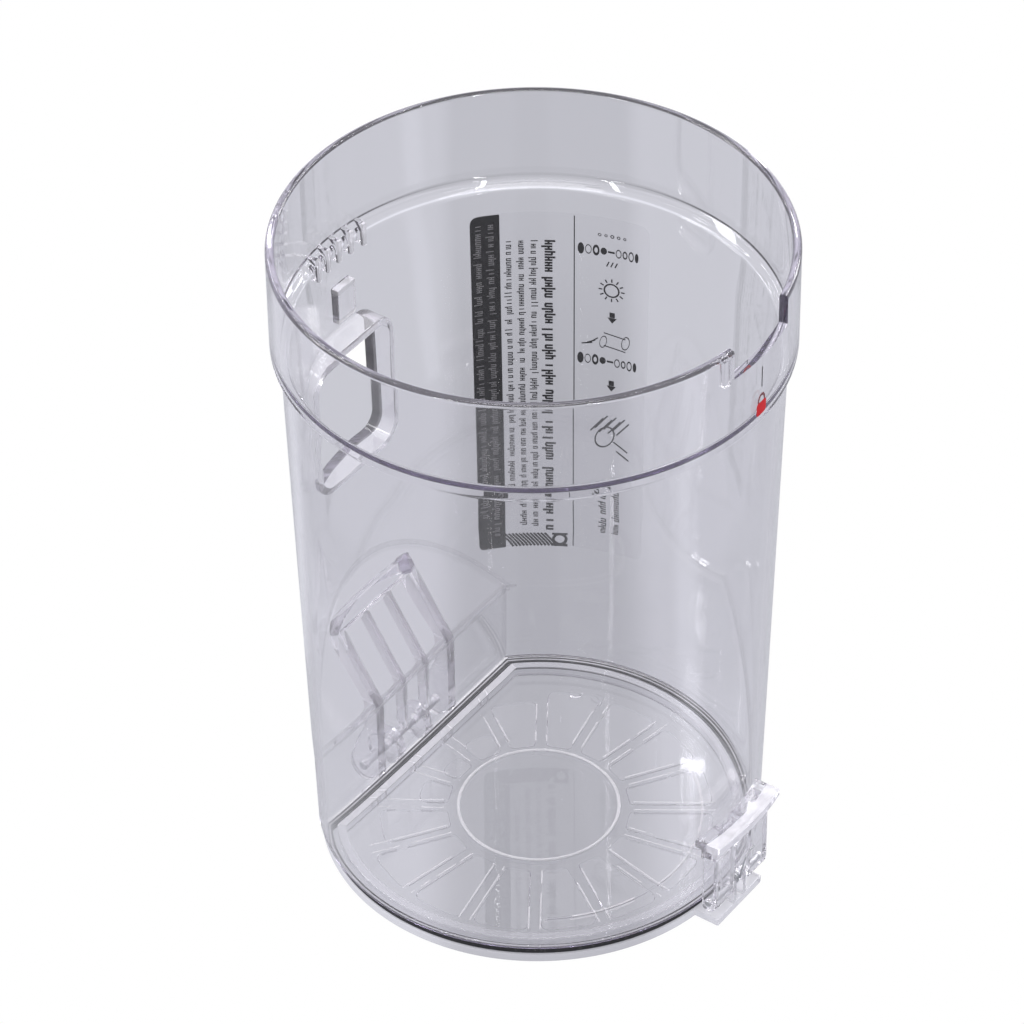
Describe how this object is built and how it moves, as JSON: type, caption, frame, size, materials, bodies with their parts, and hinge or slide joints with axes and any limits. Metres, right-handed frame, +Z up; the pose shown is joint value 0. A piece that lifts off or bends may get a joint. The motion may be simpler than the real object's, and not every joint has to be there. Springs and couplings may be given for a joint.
{
  "type": "vacuum cleaner dust canister",
  "caption": "Clear round dust canister of a cordless vacuum cleaner, with a wide collar, a side inlet, a hinged sealed bottom door and a sprung snap latch.",
  "frame": {"origin": "the middle of the door's underside, on the cup's axis", "axes": "+Z up the cup's axis to the rim, -Y towards the latch, +Y towards the door hinge"},
  "size_m": [0.115, 0.1173, 0.166],
  "materials": {
    "clear_plastic": "clear, polished, faintly violet-grey",
    "seal_rubber": "black moulded rubber",
    "pin_steel": "bright drawn wire",
    "spring_steel": "spring wire",
    "label_film": "clear film with black print"
  },
  "bodies": {
    "cup_body": {"cup_shell": "clear_plastic", "hinge_pin": "pin_steel", "label_film": "label_film"},
    "door_body": {"door": "clear_plastic", "door_seal": "seal_rubber", "latch_pin": "pin_steel"},
    "latch_body": {"latch": "clear_plastic", "latch_spring": "spring_steel"}
  },
  "joints": [
    {"name": "door_hinge", "type": "hinge", "parent": "cup_body", "child": "door_body", "pos_m": [0, 0.0415, 0.005], "axis": [1, 0, 0], "range_deg": [0, 95]},
    {"name": "latch_pivot", "type": "hinge", "parent": "door_body", "child": "latch_body", "pos_m": [0, -0.0544, 0.0074], "axis": [1, 0, 0], "range_deg": [0, 20], "stiffness_Nm_per_rad": 0.01, "springref_deg": -28.65, "deforming": ["latch_spring"]}
  ]
}
